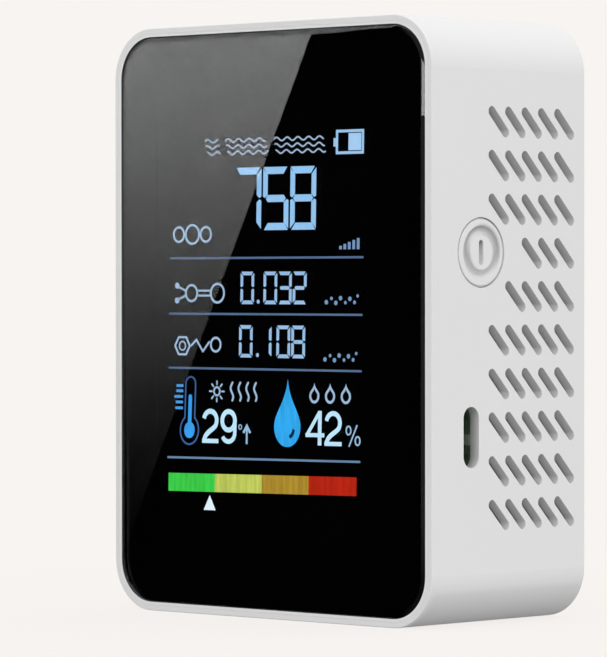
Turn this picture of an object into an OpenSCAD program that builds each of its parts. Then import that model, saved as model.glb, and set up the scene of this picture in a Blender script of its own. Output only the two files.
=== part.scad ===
// Desktop air quality monitor: a white sleeve with slanted side vents, a glass
// front over a segment display, a push button and a charging port on the right
// side, and the boards, sensors and battery inside.
// Frame: X across the front (right is +X), Y front to back (front is -Y),
// Z up. Origin at the centre of the footprint, on the bottom face.

/* [Body] */
// Width of the body, side to side
body_w = 70; // [70:0.5:74]
// Depth of the body, front to back
body_d = 36.5; // [36.5:0.5:42]
// Height of the body
body_h = 95; // [95:0.5:100]
// Radius of the four long corners
corner_r = 8.2; // [7.8:0.1:9.5]
// Wall thickness of the sleeve
wall = 1.8; // [1.6:0.1:2]
// Rounding of the front edge
front_round = 0.15; // [0.1:0.05:0.4]
// Rounding of the rear edge
rear_round = 0.2; // [0.1:0.1:0.8]

/* [Front] */
// Visible rim around the glass, housing edge and bezel edge together
rim = 1.4; // [1.35:0.05:1.7]
// Part of the rim that belongs to the inner bezel
bezel_band = 0.45; // [0.4:0.05:0.55]
// Thickness of the glass panel
lens_t = 1.2; // [1:0.1:1.3]
// Width of the curved edge of the glass panel
lens_edge = 0.9; // [0.6:0.1:1]
// Width of the clear window in the printed border
window_w = 52; // [48:0.5:53]
// Height of the clear window in the printed border
window_h = 66.5; // [62:0.5:67]

/* [Vents] */
// Width of one vent slot
slot_w = 1.6; // [1.2:0.1:1.8]
// Distance between the two end arcs of a slot
slot_l = 4.6; // [3.6:0.1:4.8]
// Slant of the slots, degrees from level
slot_tilt = 45; // [35:1:55]
// Slot spacing, front to back
slot_py = 3.94; // [3.9:0.02:4]
// Slot spacing, row to row
slot_pz = 6.82; // [6.6:0.02:6.9]
// Number of slots in a full row
slot_cols = 5; // [3:1:5]
// Number of rows
slot_rows = 10; // [8:1:10]
// Height of the top row above the base
slot_top = 78.6; // [78:0.1:80]
// Position of the foremost column, front to back
slot_front = -2.6; // [-2.8:0.1:-2.4]

/* [Button] */
// Height of the button centre above the base
btn_z = 58.2; // [57:0.1:59]
// Position of the button centre, front to back
btn_y = -6.8; // [-7:0.1:-6.6]
// Radius of the hole in the side wall
btn_hole_r = 5.5; // [5.2:0.1:5.6]
// Radial gap around the button cap
btn_gap = 0.3; // [0.2:0.01:0.35]
// Travel of the button
btn_travel = 0.4; // [0.2:0.05:0.5]

/* [Port] */
// Height of the port centre above the base
usb_z = 29.5; // [28:0.1:31]
// Height of the port slot in the wall
usb_slot_h = 9.5; // [9.4:0.1:10]
// Width of the port slot in the wall
usb_slot_w = 3.6; // [3.5:0.05:3.8]

/* [Hidden] */
$fn = 64;

// Levels from front to back
yf = -body_d/2;                 // front face
yb = body_d/2;                  // rear face
y_lens0 = yf + 0.05;            // glass front
y_lens1 = y_lens0 + lens_t;     // glass back
y_mask = y_lens1 + 0.06;        // back of the printed border
y_ledge = yf + 1.55;            // bezel ledge, front side
y_wall0 = yf + 3.05;            // inner front wall, front side
y_wall1 = y_wall0 + 2;          // inner front wall, rear side
y_pcb0 = yf + 5.9;              // main board, front side
y_pcb1 = yf + 7.5;              // main board, rear side
y_lid0 = yb - 2;                // back cover, inner side
usb_y = y_pcb1 + 1.63;          // port centre line

hx = body_w/2;                  // half width
zc = body_h/2;                  // mid height
in_x = hx - wall;               // inner face of the side walls
boss_x = hx - 5.6;              // corner boss positions
boss_z0 = 5.6;
boss_z1 = body_h - 5.6;
boss_r = 3.2;
post_x = hx - 4.4;              // main board posts
post_z = [20, 75];
open_w = body_w - 2*rim;        // opening for the glass
open_h = body_h - 2*rim;
open_r = corner_r - rim;
seam = 0.02;                    // fit between the housing and the bezel
hous_band = rim - bezel_band - seam;   // visible edge of the housing
lid_band = 1.2;                 // housing edge around the back cover

// ---------- helpers ----------

// A drawing in X and Z, given thickness from y0 to y1
module layer(y0, y1)
    translate([0, y1, 0]) rotate([90, 0, 0]) linear_extrude(y1 - y0) children();

// A drawing in Y and Z, given thickness from x0 to x1
module across(x0, x1)
    translate([x0, 0, 0]) rotate([90, 0, 90]) linear_extrude(x1 - x0) children();

// A box from its lowest corner to its highest corner
module box(a, b) translate(a) cube(b - a);

// Rounded rectangle, centred
module rrect(w, h, r) {
    square([w, h - 2*r], center = true);
    square([w - 2*r, h], center = true);
    for (sx = [-1, 1], sy = [-1, 1])
        translate([sx*(w/2 - r), sy*(h/2 - r)]) circle(r);
}

// Rounded rectangle on the body's centre line
module face(w, h, r) translate([0, zc]) rrect(w, h, r);

// Carries a wall section round the body outline. In the section, x is
// minus the distance in from the outline and y is minus the body's Y.
module ring(w, h, r)
    translate([0, 0, zc]) rotate([90, 0, 0])
        for (k = [0:3]) {
            a = (k % 2 == 0) ? w/2 : h/2;
            b = (k % 2 == 0) ? h/2 : w/2;
            rotate(90*k) {
                translate([a, 0, 0]) rotate([90, 0, 0])
                    linear_extrude(2*(b - r), center = true) children();
                translate([a - r, b - r, 0])
                    rotate_extrude(angle = 90) translate([r, 0]) children();
            }
        }

// A cylinder along X
module rod_x(x0, x1, r) translate([x0, 0, 0]) rotate([0, 90, 0]) cylinder(r = r, h = x1 - x0);

// A cylinder along Y
module rod_y(y0, y1, r) translate([0, y0, 0]) rotate([-90, 0, 0]) cylinder(r = r, h = y1 - y0);

// A long hole with round ends, lying along x
module capsule(l, w) {
    square([l, w], center = true);
    for (s = [-1, 1]) translate([s*l/2, 0]) circle(w/2);
}

// A round lead swept along a smooth curve through four control points
lead_sides = 10;
lead_steps = 14;
function bez(p, t) = pow(1 - t, 3)*p[0] + 3*t*pow(1 - t, 2)*p[1] + 3*t*t*(1 - t)*p[2] + t*t*t*p[3];
function bez_dir(p, t) = 3*pow(1 - t, 2)*(p[1] - p[0]) + 6*t*(1 - t)*(p[2] - p[1]) + 3*t*t*(p[3] - p[2]);
function unit(v) = v/norm(v);
module lead(p, r) {
    n = lead_sides;
    m = lead_steps;
    pts = [for (i = [0:m]) let (c = bez(p, i/m), d = unit(bez_dir(p, i/m)),
            u = unit(cross(d, [1, 0, 0])), v = cross(d, u))
        for (k = [0:n - 1]) c + r*(cos(360*k/n)*u + sin(360*k/n)*v)];
    polyhedron(pts, concat(
        [[for (k = [0:n - 1]) n - 1 - k]],
        [for (i = [0:m - 1], k = [0:n - 1]) [i*n + k, i*n + (k + 1)%n, (i + 1)*n + (k + 1)%n, (i + 1)*n + k]],
        [[for (k = [0:n - 1]) m*n + k]]), convexity = 4);
}

// Slot positions on one side. On the button side the slots that would meet
// the button are left out.
function skip(row, col) = (row == 3 && col < 2) || (row == 4 && col < 1);
module slots(button_side)
    for (row = [0:slot_rows - 1], col = [0:slot_cols - 1])
        if (!(button_side && skip(row, col)))
            translate([slot_front + col*slot_py, slot_top - row*slot_pz])
                rotate(-slot_tilt) capsule(slot_l, slot_w);

// ---------- casing ----------

// Section of the sleeve wall, with its front and rear steps
module sleeve_section()
    difference() {
        polygon([[0, -yf], [-hous_band, -yf], [-hous_band, -y_wall0], [-wall, -y_wall0],
            [-wall, -y_lid0], [-lid_band, -y_lid0], [-lid_band, -yb], [0, -yb]]);
        difference() {
            translate([-front_round, -yf - front_round]) square(front_round + 1);
            translate([-front_round, -yf - front_round]) circle(front_round);
        }
        difference() {
            translate([-rear_round, -yb - 1]) square([rear_round + 1, rear_round + 1]);
            translate([-rear_round, -yb + rear_round]) circle(rear_round);
        }
    }

module housing() color("gainsboro")
    difference() {
        union() {
            ring(body_w, body_h, corner_r) sleeve_section();
            // inner front wall that the display and the board stand on
            layer(y_wall0, y_wall1) difference() {
                face(body_w - 2, body_h - 2, corner_r - 1);
                face(58.2, 74.4, 1);
            }
            // four corner bosses for the back cover
            for (x = [-boss_x, boss_x], z = [boss_z0, boss_z1])
                translate([x, 0, z]) rod_y(y_wall1 - 1, y_lid0, boss_r);
            // four posts for the main board
            for (x = [-post_x, post_x], z = post_z)
                translate([x, 0, z]) rod_y(y_wall1 - 1, y_pcb0, 1.6);
        }
        for (x = [-boss_x, boss_x], z = [boss_z0, boss_z1])
            translate([x, 0, z]) rod_y(y_lid0 - 8, y_lid0 + 1, 1.02);
        for (x = [-post_x, post_x], z = post_z)
            translate([x, 0, z]) rod_y(y_pcb0 - 2.4, y_pcb0 + 1, 0.97);
        // vents
        across(in_x - 1, hx + 1) slots(true);
        across(-hx - 1, -in_x + 1) slots(false);
        // button hole
        translate([0, btn_y, btn_z]) rod_x(in_x - 1, hx + 1, btn_hole_r);
        // port slot
        across(in_x - 1, hx + 1) translate([usb_y, usb_z]) rotate(90)
            capsule(usb_slot_h - usb_slot_w, usb_slot_w);
    }

module front_bezel() color("whitesmoke") {
    w = body_w - 2*hous_band - 2*seam;
    h = body_h - 2*hous_band - 2*seam;
    r = corner_r - hous_band - seam;
    union() {
        ring(w, h, r) polygon([[0, -yf], [-bezel_band, -yf], [-bezel_band, -y_ledge],
            [-2, -y_ledge], [-2, -y_wall0], [0, -y_wall0]]);
        layer(y_ledge, y_wall0) difference() {
            face(w - 2, h - 2, r - 1);
            face(58.6, 76, 1.2);
        }
    }
}

module back_cover() color("gainsboro")
    difference() {
        union() {
            layer(y_lid0, yb - 0.3) face(body_w - 2*lid_band - 0.2, body_h - 2*lid_band - 0.2, corner_r - lid_band - 0.1);
            layer(yb - 0.3, yb) face(body_w - 2*lid_band - 0.5, body_h - 2*lid_band - 0.5, corner_r - lid_band - 0.25);
            // locating tabs behind the top and bottom walls
            for (x = [-14, 14]) {
                box([x - 6, y_lid0 - 2.6, wall + 0.1], [x + 6, y_lid0 + 0.5, wall + 1.4]);
                box([x - 6, y_lid0 - 2.6, body_h - wall - 1.4], [x + 6, y_lid0 + 0.5, body_h - wall - 0.1]);
            }
        }
        for (x = [-boss_x, boss_x], z = [boss_z0, boss_z1]) translate([x, 0, z]) {
            rod_y(y_lid0 - 1, yb + 1, 1.2);
            rod_y(yb - 1, yb + 1, 2.3);
        }
    }

module back_screws() color("silver")
    for (x = [-boss_x, boss_x], z = [boss_z0, boss_z1]) translate([x, 0, z])
        difference() {
            union() {
                rod_y(y_lid0 - 6.5, yb - 0.9, 1);
                rod_y(yb - 1, yb - 0.15, 2.1);
            }
            rotate([0, 45, 0]) {
                box([-1.3, yb - 0.7, -0.22], [1.3, yb + 1, 0.22]);
                box([-0.22, yb - 0.7, -1.3], [0.22, yb + 1, 1.3]);
            }
        }

// ---------- glass front and display ----------

module lens_panel() color([0.02, 0.02, 0.03]) {
    w = open_w - 0.1;
    h = open_h - 0.1;
    r = open_r - 0.05;
    drop = 0.2;
    arc = (lens_edge*lens_edge + drop*drop)/(2*drop);
    union() {
        layer(y_lens0, y_lens1) face(w - 2*lens_edge, h - 2*lens_edge, r - lens_edge);
        ring(w, h, r) intersection() {
            translate([-lens_edge, -y_lens1]) square([lens_edge, lens_t]);
            translate([-lens_edge, -y_lens0 - arc]) circle(arc, $fn = 96);
        }
    }
}

module lens_mask() color("black")
    layer(y_lens1, y_mask) difference() {
        face(open_w - 0.14, open_h - 0.14, open_r - 0.07);
        translate([0, zc - 0.25]) square([window_w, window_h], center = true);
    }

module lens_tape() color([0.1, 0.1, 0.1])
    layer(y_mask, y_ledge) difference() {
        face(open_w - 0.3, open_h - 0.3, open_r - 0.15);
        face(59.6, 77, 1.7);
    }

module lcd_polarizer() color([0.05, 0.05, 0.07])
    layer(y_ledge - 0.15, y_ledge) translate([0, zc + 0.55]) square([54, 68.7], center = true);

module lcd_glass() color([0.25, 0.28, 0.3])
    difference() {
        layer(y_ledge, y_ledge + 1.4) translate([0, zc + 0.4]) square([56, 71], center = true);
        // the front pane is shorter, which leaves the contact shelf bare
        box([-29, y_ledge - 1, zc - 36], [29, y_ledge + 0.7, zc - 33.9]);
    }

module colour_film() color([0.5, 0.7, 0.9])
    layer(y_ledge + 1.4, y_ledge + 1.5) translate([0, zc + 0.9]) square([54, 66], center = true);

module light_guide() color([0.92, 0.95, 0.97])
    layer(y_ledge + 1.5, y_wall1 - 0.05) translate([0, zc + 0.75]) square([54, 66.7], center = true);

module backlight_leds() color([1, 0.95, 0.7]) union() {
    box([-25, y_ledge + 2.9, zc + 34.25], [25, y_ledge + 3.3, zc + 35.9]);
    for (i = [0:5]) box([-21.5 + 8*i, y_ledge + 1.7, zc + 34.25], [-18.5 + 8*i, y_ledge + 3, zc + 35.4]);
}

module lcd_frame() color("white")
    difference() {
        layer(y_ledge + 0.8, y_pcb0) translate([0, zc]) rrect(57.8, 73.8, 0.8);
        layer(y_ledge, y_wall1 - 0.05) translate([0, zc - 0.1]) square([56.2, 72.4], center = true);
        box([-9.6, y_wall1 - 1, zc - 36.3], [9.6, y_pcb0 + 1, zc - 34.8]);
    }

// Flat ribbon from the glass shelf, back through the board and up to its socket
module lcd_ribbon() color([0.8, 0.5, 0.15]) {
    y0 = y_ledge + 1.4;
    z0 = zc - 34.9;
    yr = y_pcb1 + 0.75;
    across(-9, 9) {
        translate([y0, z0]) square([0.2, 1.8]);
        intersection() {
            translate([y0 + 0.5, z0]) difference() { circle(0.5); circle(0.3); }
            translate([y0 - 0.1, z0 - 0.6]) square([0.6, 0.6]);
        }
        translate([y0 + 0.5, z0 - 0.5]) square([yr - 0.5 - y0 - 0.5 + 0.2, 0.2]);
        intersection() {
            translate([yr - 0.3, z0]) difference() { circle(0.5); circle(0.3); }
            translate([yr - 0.3, z0 - 0.6]) square([0.6, 0.6]);
        }
        translate([yr, z0]) square([0.2, 3.4]);
    }
}

module ribbon_socket() color([0.9, 0.88, 0.8])
    difference() {
        box([-10.6, y_pcb1, zc - 33.2], [10.6, y_pcb1 + 1.4, zc - 29]);
        box([-9.2, y_pcb1 + 0.7, zc - 34], [9.2, y_pcb1 + 1, zc - 31]);
    }

// ---------- main board ----------

module main_board() color([0.06, 0.28, 0.14])
    layer(y_pcb0, y_pcb1) difference() {
        translate([0, zc]) square([2*in_x - 1.2, body_h - 10], center = true);
        // corners clear the bosses
        for (sx = [-1, 1], z = [0, body_h - 10])
            translate([sx*(boss_x + 3.5) - 7.5, z]) square([15, 10]);
        // edge clears the button flange
        translate([hx - 6.6, btn_z - 6.4]) square([6, 12.8]);
        // slot for the ribbon
        translate([-10, zc - 36]) square([20, 1.4]);
        for (x = [-post_x, post_x], z = post_z) translate([x, z]) circle(1.1);
        for (x = [-6, 6]) translate([x, 86]) circle(1, $fn = 12);
    }

module board_screws() color("silver")
    for (x = [-post_x, post_x], z = post_z) translate([x, 0, z])
        difference() {
            union() {
                rod_y(y_pcb0 - 2.1, y_pcb1 + 0.1, 0.95);
                rod_y(y_pcb1, y_pcb1 + 1.1, 1.85);
            }
            box([-1.1, y_pcb1 + 0.6, -0.2], [1.1, y_pcb1 + 2, 0.2]);
            box([-0.2, y_pcb1 + 0.6, -1.1], [0.2, y_pcb1 + 2, 1.1]);
        }

module controller_chip() color([0.12, 0.12, 0.13])
    box([2, y_pcb1 + 0.15, 38], [12, y_pcb1 + 1.55, 48]);

module charger_chip() color([0.12, 0.12, 0.13])
    box([17, y_pcb1 + 0.15, 36], [21, y_pcb1 + 1.5, 41]);

module chip_leads() color("silver") {
    for (i = [0:7]) {
        box([0.9, y_pcb1, 38.8 + 1.1*i], [2, y_pcb1 + 0.5, 39.3 + 1.1*i]);
        box([12, y_pcb1, 38.8 + 1.1*i], [13.1, y_pcb1 + 0.5, 39.3 + 1.1*i]);
        box([2.8 + 1.1*i, y_pcb1, 36.9], [3.3 + 1.1*i, y_pcb1 + 0.5, 38]);
        box([2.8 + 1.1*i, y_pcb1, 48], [3.3 + 1.1*i, y_pcb1 + 0.5, 49.1]);
    }
    for (i = [0:3]) {
        box([16, y_pcb1, 36.45 + 1.27*i], [17, y_pcb1 + 0.5, 36.85 + 1.27*i]);
        box([21, y_pcb1, 36.45 + 1.27*i], [22, y_pcb1 + 0.5, 36.85 + 1.27*i]);
    }
}

module chip_parts() color([0.55, 0.42, 0.3]) {
    for (i = [0:5]) box([1.5 + 2.2*i, y_pcb1, 32], [2.75 + 2.2*i, y_pcb1 + 0.8, 34]);
    for (i = [0:4]) box([15.6 + 2*i, y_pcb1, 31.6], [16.6 + 2*i, y_pcb1 + 0.7, 33.6]);
    for (i = [0:4]) box([1.8 + 2.4*i, y_pcb1, 51.5], [3.8 + 2.4*i, y_pcb1 + 0.8, 52.75]);
}

module inductor() color([0.2, 0.2, 0.21])
    layer(y_pcb1, y_pcb1 + 3) translate([19, 47]) rrect(5, 5, 1);

module crystal_can() color("silver")
    layer(y_pcb1, y_pcb1 + 3.4) translate([-2.8, 43.5]) rotate(90) capsule(6.4, 4.4);

// ---------- charging port ----------

module usb_outline(g) translate([usb_y, usb_z]) rrect(3.26 - 2*g, 8.94 - 2*g, 1.5 - g);

module usb_shell() color([0.7, 0.71, 0.73])
    union() {
        difference() {
            union() {
                across(in_x - 7.5, in_x - 0.2) usb_outline(0);
                // rolled mouth
                across(in_x - 0.45, in_x - 0.02) usb_outline(-0.3);
            }
            across(in_x - 7.2, in_x + 1) usb_outline(0.3);
        }
        for (x = [in_x - 6.2, in_x - 2.4], s = [-1, 1])
            box([x, y_pcb1, usb_z + s*4.75 - 0.55], [x + 1.2, y_pcb1 + 1.63, usb_z + s*4.75 + 0.55]);
    }

module usb_tongue() color([0.1, 0.13, 0.1])
    union() {
        across(in_x - 7.2, in_x - 5.6) usb_outline(0.31);
        box([in_x - 5.7, usb_y - 0.35, usb_z - 3.35], [in_x - 0.9, usb_y + 0.35, usb_z + 3.35]);
        // liner on the rear side, open near the middle
        box([in_x - 5.7, usb_y + 1.13, usb_z + 0.42], [in_x - 0.3, usb_y + 1.32, usb_z + 2.7]);
        box([in_x - 5.7, usb_y + 1.13, usb_z - 2.7], [in_x - 0.3, usb_y + 1.32, usb_z - 1.3]);
    }

module usb_contacts() color("gold")
    for (i = [0:11]) for (s = [-1, 1])
        box([in_x - 5, usb_y + s*0.375 - 0.025, usb_z - 2.87 + 0.5*i],
            [in_x - 1.1, usb_y + s*0.375 + 0.025, usb_z - 2.63 + 0.5*i]);

// ---------- power button ----------

sw_x = in_x - 5.8;              // front of the switch body
module at_button() translate([0, btn_y, btn_z]) children();

module switch_body() color([0.1, 0.1, 0.1])
    at_button() difference() {
        box([sw_x - 3.5, -3, -3], [sw_x - 0.3, 3, 3]);
        rod_x(sw_x - 1.9, sw_x, 1.85);
    }

module switch_plate() color("silver")
    at_button() difference() {
        union() {
            box([sw_x - 0.3, -3, -3], [sw_x, 3, 3]);
            for (s = [-1, 1]) box([sw_x - 0.3, y_pcb1 - btn_y, s*2.4 - 0.4], [sw_x, -2.9, s*2.4 + 0.4]);
        }
        rod_x(sw_x - 1, sw_x + 1, 1.75);
    }

module switch_plunger() color([0.15, 0.15, 0.15])
    at_button() rod_x(sw_x - 1.4, sw_x + 2, 1.65);

module power_button() color("gainsboro") {
    rc = btn_hole_r - btn_gap;      // cap
    rs = btn_hole_r - 0.08;         // shoulder that guides the cap in its hole
    at_button() difference() {
        // turned body: cap with a rounded edge, flange behind the wall, stem
        rotate([0, 90, 0]) rotate_extrude() difference() {
            polygon([[0, sw_x + 2.06], [1.5, sw_x + 2.06], [1.5, in_x - 1.4], [5.9, in_x - 1.4],
                [5.9, in_x - 0.06], [rs, in_x - 0.06], [rs, hx - 0.45], [rc, hx - 0.45],
                [rc, hx], [0, hx]]);
            // soft round groove round the middle
            translate([3.45, hx + 0.2]) circle(0.78);
            // broken edge
            difference() {
                translate([rc - 0.15, hx - 0.15]) square(1);
                translate([rc - 0.15, hx - 0.15]) circle(0.15);
            }
        }
        // engraved bar
        across(hx - 1.1, hx + 1) rotate(90) capsule(2.9, 1.05);
    }
}

// ---------- battery ----------

bat_y0 = y_lid0 - 6.75;
bat_y1 = y_lid0 - 0.75;

module battery_cell() color([0.75, 0.76, 0.78]) union() {
    layer(bat_y0, bat_y1) translate([2, 48]) rrect(34, 44, 1.6);
    layer(bat_y1 - 1.2, bat_y1) translate([2, 24.2]) square([33, 4.4], center = true);
}

module battery_guard() color([0.85, 0.6, 0.15])
    layer(bat_y1 - 3.6, bat_y1 - 1.2) translate([2, 24]) square([28, 3.4], center = true);

module battery_tape() color("white")
    layer(bat_y1, y_lid0) translate([2, 48]) square([28, 38], center = true);

module battery_socket() color([0.95, 0.93, 0.88])
    difference() {
        box([13.5, y_pcb1, 11.5], [20.5, y_pcb1 + 5, 16.5]);
        box([14.2, y_pcb1 + 0.8, 12.2], [19.8, y_pcb1 + 6, 15.8]);
    }

module battery_plug() color([0.93, 0.91, 0.86])
    box([14.3, y_pcb1 + 0.85, 12.3], [19.7, y_pcb1 + 6.4, 15.7]);

module battery_lead_red() color("red")
    lead([[15.7, y_pcb1 + 6.4, 14], [15.7, 9, 14], [8.8, bat_y1 - 2.4, 9], [8.8, bat_y1 - 2.4, 22.3]], 0.6);

module battery_lead_black() color([0.1, 0.1, 0.1])
    lead([[18.3, y_pcb1 + 6.4, 14], [18.3, 11, 14], [11.8, bat_y1 - 2.4, 7.5], [11.8, bat_y1 - 2.4, 22.3]], 0.6);

// ---------- sensors ----------

module co2_board() color([0.05, 0.2, 0.35])
    layer(y_pcb1 + 2.4, y_pcb1 + 3.6) translate([-13, 72]) square([33, 20], center = true);

module co2_chamber() color([0.85, 0.72, 0.35])
    difference() {
        layer(y_pcb1 + 3.6, y_pcb1 + 12.6) translate([-13, 72]) rrect(30, 18, 2);
        // shallow seats for the two filters
        for (x = [-21, -5]) translate([x, 0, 72]) rod_y(y_pcb1 + 12.2, y_pcb1 + 13, 3.2);
    }

module co2_filter() color("white")
    for (x = [-21, -5]) translate([x, 0, 72]) rod_y(y_pcb1 + 12.2, y_pcb1 + 12.5, 3.1);

module gas_board() color([0.05, 0.2, 0.35])
    layer(y_pcb1 + 3.2, y_pcb1 + 4.4) translate([-18, 43]) square([22, 22], center = true);

module hcho_can() color("silver")
    translate([-21.2, 0, 43]) difference() {
        rod_y(y_pcb1 + 4.4, y_pcb1 + 11.4, 6.5);
        rod_y(y_pcb1 + 11, y_pcb1 + 12, 4.6);
    }

module hcho_filter() color("white")
    translate([-21.2, 0, 43]) rod_y(y_pcb1 + 11, y_pcb1 + 11.3, 4.5);

module tvoc_can() color([0.8, 0.75, 0.6])
    translate([-10.8, 0, 43]) union() {
        rod_y(y_pcb1 + 4.4, y_pcb1 + 5, 3.2);
        rod_y(y_pcb1 + 4.9, y_pcb1 + 8.6, 2.8);
    }

module climate_sensor() color([0.9, 0.9, 0.9])
    difference() {
        box([-31, y_pcb1, 26], [-28, y_pcb1 + 1, 29]);
        translate([-29.5, 0, 27.5]) rotate([-90, 0, 0]) translate([0, 0, y_pcb1 + 0.7]) cylinder(r = 0.6, h = 1, $fn = 12);
    }

module sensor_pins() color("gold") {
    for (i = [0:3]) for (x = [-28, 2]) translate([x, 0, 68.2 + 2.54*i]) rod_y(y_pcb1, y_pcb1 + 2.4, 0.32);
    for (i = [0:3]) for (z = [33.5, 52.5]) translate([-21.8 + 2.54*i, 0, z]) rod_y(y_pcb1, y_pcb1 + 3.2, 0.32);
}

housing();
front_bezel();
back_cover();
back_screws();
lens_panel();
lens_mask();
lens_tape();
lcd_polarizer();
lcd_glass();
colour_film();
light_guide();
backlight_leds();
lcd_frame();
lcd_ribbon();
ribbon_socket();
main_board();
board_screws();
controller_chip();
charger_chip();
chip_leads();
chip_parts();
inductor();
crystal_can();
usb_shell();
usb_tongue();
usb_contacts();
switch_body();
switch_plate();
switch_plunger();
power_button();
battery_cell();
battery_guard();
battery_tape();
battery_plug();
battery_socket();
battery_lead_red();
battery_lead_black();
co2_board();
co2_chamber();
co2_filter();
gas_board();
hcho_can();
hcho_filter();
tvoc_can();
climate_sensor();
sensor_pins();
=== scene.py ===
import math

import bmesh
import bpy
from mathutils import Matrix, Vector


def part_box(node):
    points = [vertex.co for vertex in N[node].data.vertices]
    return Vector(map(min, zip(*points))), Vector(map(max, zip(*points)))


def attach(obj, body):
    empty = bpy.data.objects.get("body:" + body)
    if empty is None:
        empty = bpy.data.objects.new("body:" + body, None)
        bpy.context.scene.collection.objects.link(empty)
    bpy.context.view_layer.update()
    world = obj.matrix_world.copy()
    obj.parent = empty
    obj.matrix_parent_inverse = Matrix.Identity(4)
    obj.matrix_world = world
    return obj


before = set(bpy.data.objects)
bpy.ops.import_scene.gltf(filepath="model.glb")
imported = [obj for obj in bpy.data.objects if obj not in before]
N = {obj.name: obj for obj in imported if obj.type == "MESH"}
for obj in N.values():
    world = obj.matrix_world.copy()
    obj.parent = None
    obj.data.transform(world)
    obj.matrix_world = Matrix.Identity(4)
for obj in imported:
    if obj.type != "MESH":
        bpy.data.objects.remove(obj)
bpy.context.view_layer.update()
MM = 0.001


# ---------------------------------------------------------------- colours


def lin(*rgb):
    """sRGB 0-255 to linear."""
    out = []
    for v in rgb:
        c = v / 255.0
        out.append(c / 12.92 if c <= 0.04045 else ((c + 0.055) / 1.055) ** 2.4)
    return tuple(out)


def rgba(c):
    return (c[0], c[1], c[2], 1.0)


BACKDROP = (0.939, 0.905, 0.880)


# ---------------------------------------------------------------- materials


class Mat:
    """A small helper round a node tree."""

    def __init__(self, name):
        self.m = bpy.data.materials.new(name)
        self.m.use_nodes = True
        self.t = self.m.node_tree
        self.t.nodes.clear()
        self.out = self.t.nodes.new("ShaderNodeOutputMaterial")
        self.co = self.t.nodes.new("ShaderNodeTexCoord")

    def node(self, kind, **inputs):
        n = self.t.nodes.new(kind)
        for k, v in inputs.items():
            n.inputs[k.replace("_", " ")].default_value = v
        return n

    def link(self, a, b):
        self.t.links.new(a, b)

    def principled(self, base, rough, metal=0.0, **more):
        p = self.t.nodes.new("ShaderNodeBsdfPrincipled")
        p.inputs["Base Color"].default_value = rgba(base)
        p.inputs["Roughness"].default_value = rough
        p.inputs["Metallic"].default_value = metal
        for k, v in more.items():
            p.inputs[k.replace("_", " ")].default_value = v
        self.link(p.outputs[0], self.out.inputs["Surface"])
        self.p = p
        return p

    def stretched(self, scale):
        """Object coordinates, in metres, scaled per axis."""
        v = self.t.nodes.new("ShaderNodeMapping")
        v.inputs["Scale"].default_value = scale
        self.link(self.co.outputs["Object"], v.inputs["Vector"])
        return v.outputs[0]

    def noise(self, scale, detail=3.0, rough=0.5, vec=None):
        n = self.node("ShaderNodeTexNoise", Scale=scale, Detail=detail, Roughness=rough)
        self.link(vec or self.co.outputs["Object"], n.inputs["Vector"])
        return n.outputs["Fac"]

    def voronoi(self, scale, vec=None, feature="F1", metric="EUCLIDEAN"):
        n = self.t.nodes.new("ShaderNodeTexVoronoi")
        n.feature = feature
        n.distance = metric
        n.inputs["Scale"].default_value = scale
        self.link(vec or self.co.outputs["Object"], n.inputs["Vector"])
        return n

    def ramp(self, fac, stops):
        r = self.t.nodes.new("ShaderNodeValToRGB")
        e = r.color_ramp.elements
        while len(e) > len(stops):
            e.remove(e[-1])
        while len(e) < len(stops):
            e.new(1.0)
        for i, (pos, c) in enumerate(stops):
            e[i].position = pos
            e[i].color = rgba(c) if not isinstance(c, float) else (c, c, c, 1.0)
        self.link(fac, r.inputs["Fac"])
        return r.outputs["Color"]

    def map(self, fac, lo, hi, a=0.3, b=0.7):
        r = self.node("ShaderNodeMapRange")
        r.inputs["From Min"].default_value = a
        r.inputs["From Max"].default_value = b
        r.inputs["To Min"].default_value = lo
        r.inputs["To Max"].default_value = hi
        self.link(fac, r.inputs["Value"])
        return r.outputs["Result"]

    def math(self, op, a, b=None):
        n = self.t.nodes.new("ShaderNodeMath")
        n.operation = op
        for i, v in enumerate((a, b)):
            if v is None:
                continue
            if isinstance(v, (int, float)):
                n.inputs[i].default_value = v
            else:
                self.link(v, n.inputs[i])
        return n.outputs[0]

    def bump(self, height, strength, distance, after=None):
        b = self.node("ShaderNodeBump", Strength=strength, Distance=distance)
        self.link(height, b.inputs["Height"])
        if after is not None:
            self.link(after, b.inputs["Normal"])
        return b.outputs["Normal"]

    def to(self, socket, name, p=None):
        self.link(socket, (p or self.p).inputs[name])


def plastic(name, base, rough, grain=1900.0, bump=0.10, vary=0.02, **more):
    """Moulded plastic: fine spark-eroded grain, faint colour and gloss drift."""
    m = Mat(name)
    m.principled(base, rough, **more)
    slow = m.noise(38.0, 2.0)
    m.to(
        m.ramp(
            slow,
            [
                (0.3, tuple(v * (1 - vary) for v in base)),
                (0.7, tuple(min(v * (1 + vary * 0.6), 1.0) for v in base)),
            ],
        ),
        "Base Color",
    )
    fine = m.noise(grain, 2.0, 0.6)
    m.to(m.map(fine, rough - 0.03, rough + 0.05), "Roughness")
    m.to(m.bump(fine, bump, 0.00003), "Normal")
    return m.m


PORT_Y, PORT_Z = -0.00912, 0.0295
BUTTON_Y, BUTTON_Z = -0.0068, 0.0582


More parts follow.
